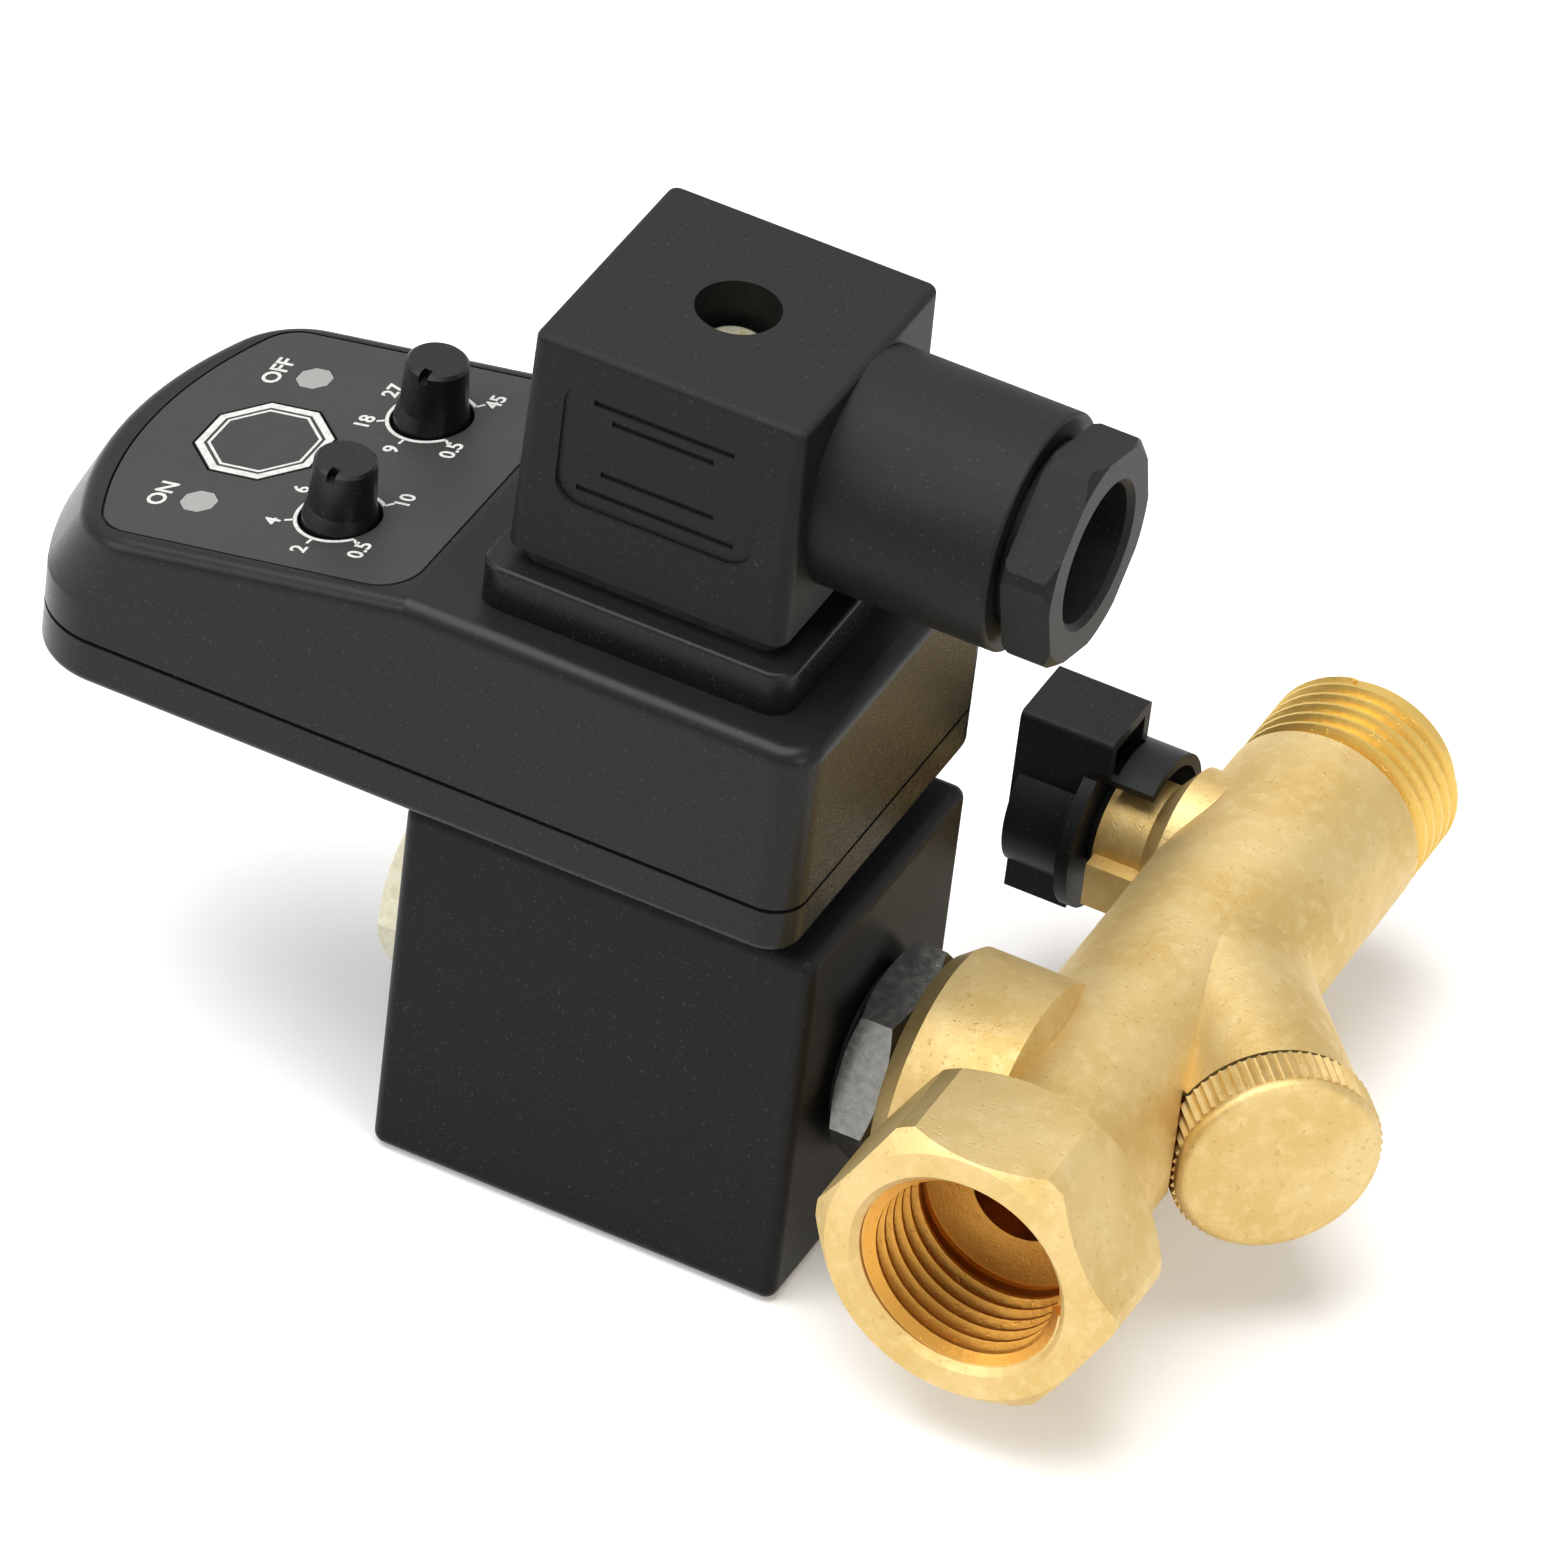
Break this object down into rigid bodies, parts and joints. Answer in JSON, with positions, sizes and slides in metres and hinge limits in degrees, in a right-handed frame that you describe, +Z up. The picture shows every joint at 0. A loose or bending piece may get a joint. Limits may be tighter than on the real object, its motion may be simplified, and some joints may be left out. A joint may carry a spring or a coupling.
{
  "type": "automatic drain valve",
  "caption": "Timer-controlled automatic drain valve: brass ball valve and Y strainer, solenoid coil, timer housing with dials and test button, and a cable plug.",
  "frame": {"origin": "centre of the outlet mouth, at the end face of the hexagon", "axes": "+Y along the pipe from the outlet to the inlet; the solenoid lies along -X; +Z up, towards the timer and the plug"},
  "size_m": [0.1347, 0.0925, 0.0993],
  "materials": {
    "cast_brass": "sand-blasted casting with a fine matt grain",
    "machined_brass": "turned, fine tool lines",
    "plated_brass": "bright plated",
    "white_seal": "smooth fluoropolymer",
    "rubber": "moulded, matt",
    "lever_plastic": "moulded, fine grain",
    "steel": "turned",
    "plated_steel": "zinc plated",
    "copper_wire": "enamelled winding",
    "coil_plastic": "moulded, fine grain",
    "timer_plastic": "moulded, satin",
    "panel_foil": "printed foil",
    "dial_plastic": "moulded, half gloss",
    "lens_plastic": "frosted",
    "plug_plastic": "moulded, glass filled",
    "circuit_board": "solder resist",
    "component_plastic": "moulded"
  },
  "bodies": {
    "valve": {"valve_body": "cast_brass", "ball_seats": "white_seal", "ball_retainer": "machined_brass", "strainer_screen": "steel", "strainer_cap": "machined_brass", "strainer_cap_seal": "rubber", "armature_tube": "steel", "tube_seal": "rubber", "fixed_core": "steel", "coil_front_washer": "rubber", "coil_washer": "rubber", "coil_nut": "plated_steel"},
    "ball_and_lever": {"valve_ball": "plated_brass", "valve_stem": "machined_brass", "stem_seal": "rubber", "valve_lever": "lever_plastic", "lever_screw": "steel"},
    "armature": {"plunger": "steel", "plunger_seal": "rubber", "plunger_spring": "steel"},
    "solenoid_head": {"coil_body": "coil_plastic", "coil_bobbin": "coil_plastic", "coil_winding": "copper_wire", "coil_yoke": "steel", "coil_blades": "plated_brass", "coil_nut_insert": "machined_brass", "timer_gasket": "rubber", "timer_base": "timer_plastic", "timer_cover": "timer_plastic", "timer_screws": "steel", "timer_board": "circuit_board", "timer_sockets": "plated_brass", "timer_blades": "plated_brass", "front_panel": "panel_foil", "off_time_pot": "component_plastic", "on_time_pot": "component_plastic", "test_switch": "component_plastic", "status_lenses": "lens_plastic", "status_leds": "lens_plastic", "plug_gasket": "rubber", "plug_housing": "plug_plastic", "plug_insert": "plug_plastic", "plug_contacts": "plated_brass", "plug_clamp_screws": "steel", "plug_screw": "plated_steel", "gland_nut": "plug_plastic", "gland_washer": "steel", "gland_grommet": "rubber"},
    "off_time_dial": {"off_time_dial": "dial_plastic"},
    "on_time_dial": {"on_time_dial": "dial_plastic"},
    "test_button": {"test_button": "panel_foil"}
  },
  "joints": [
    {"name": "ball_lever", "type": "hinge", "parent": "valve", "child": "ball_and_lever", "pos_m": [0, 0.0693, 0], "axis": [-1, 0, 0], "range_deg": [0, 90]},
    {"name": "plunger_slide", "type": "slide", "parent": "valve", "child": "armature", "axis": [-1, 0, 0], "range_m": [0, 0.0018], "stiffness_N_per_m": 400, "springref_m": -0.005, "deforming": ["plunger_spring"]},
    {"name": "coil_swivel", "type": "hinge", "parent": "valve", "child": "solenoid_head", "pos_m": [0, 0.02575, 0], "axis": [1, 0, 0], "range_deg": [-35, 90]},
    {"name": "off_time_turn", "type": "hinge", "parent": "solenoid_head", "child": "off_time_dial", "pos_m": [-0.0783, 0.03495, 0.048], "axis": [0, 0, 1], "range_deg": [-270, 0]},
    {"name": "on_time_turn", "type": "hinge", "parent": "solenoid_head", "child": "on_time_dial", "pos_m": [-0.0783, 0.01655, 0.048], "axis": [0, 0, 1], "range_deg": [-216, 54]},
    {"name": "test_press", "type": "slide", "parent": "solenoid_head", "child": "test_button", "axis": [0.1914, 0, -0.9815], "range_m": [0, 0.0005], "stiffness_N_per_m": 1500, "springref_m": -0.0003}
  ]
}
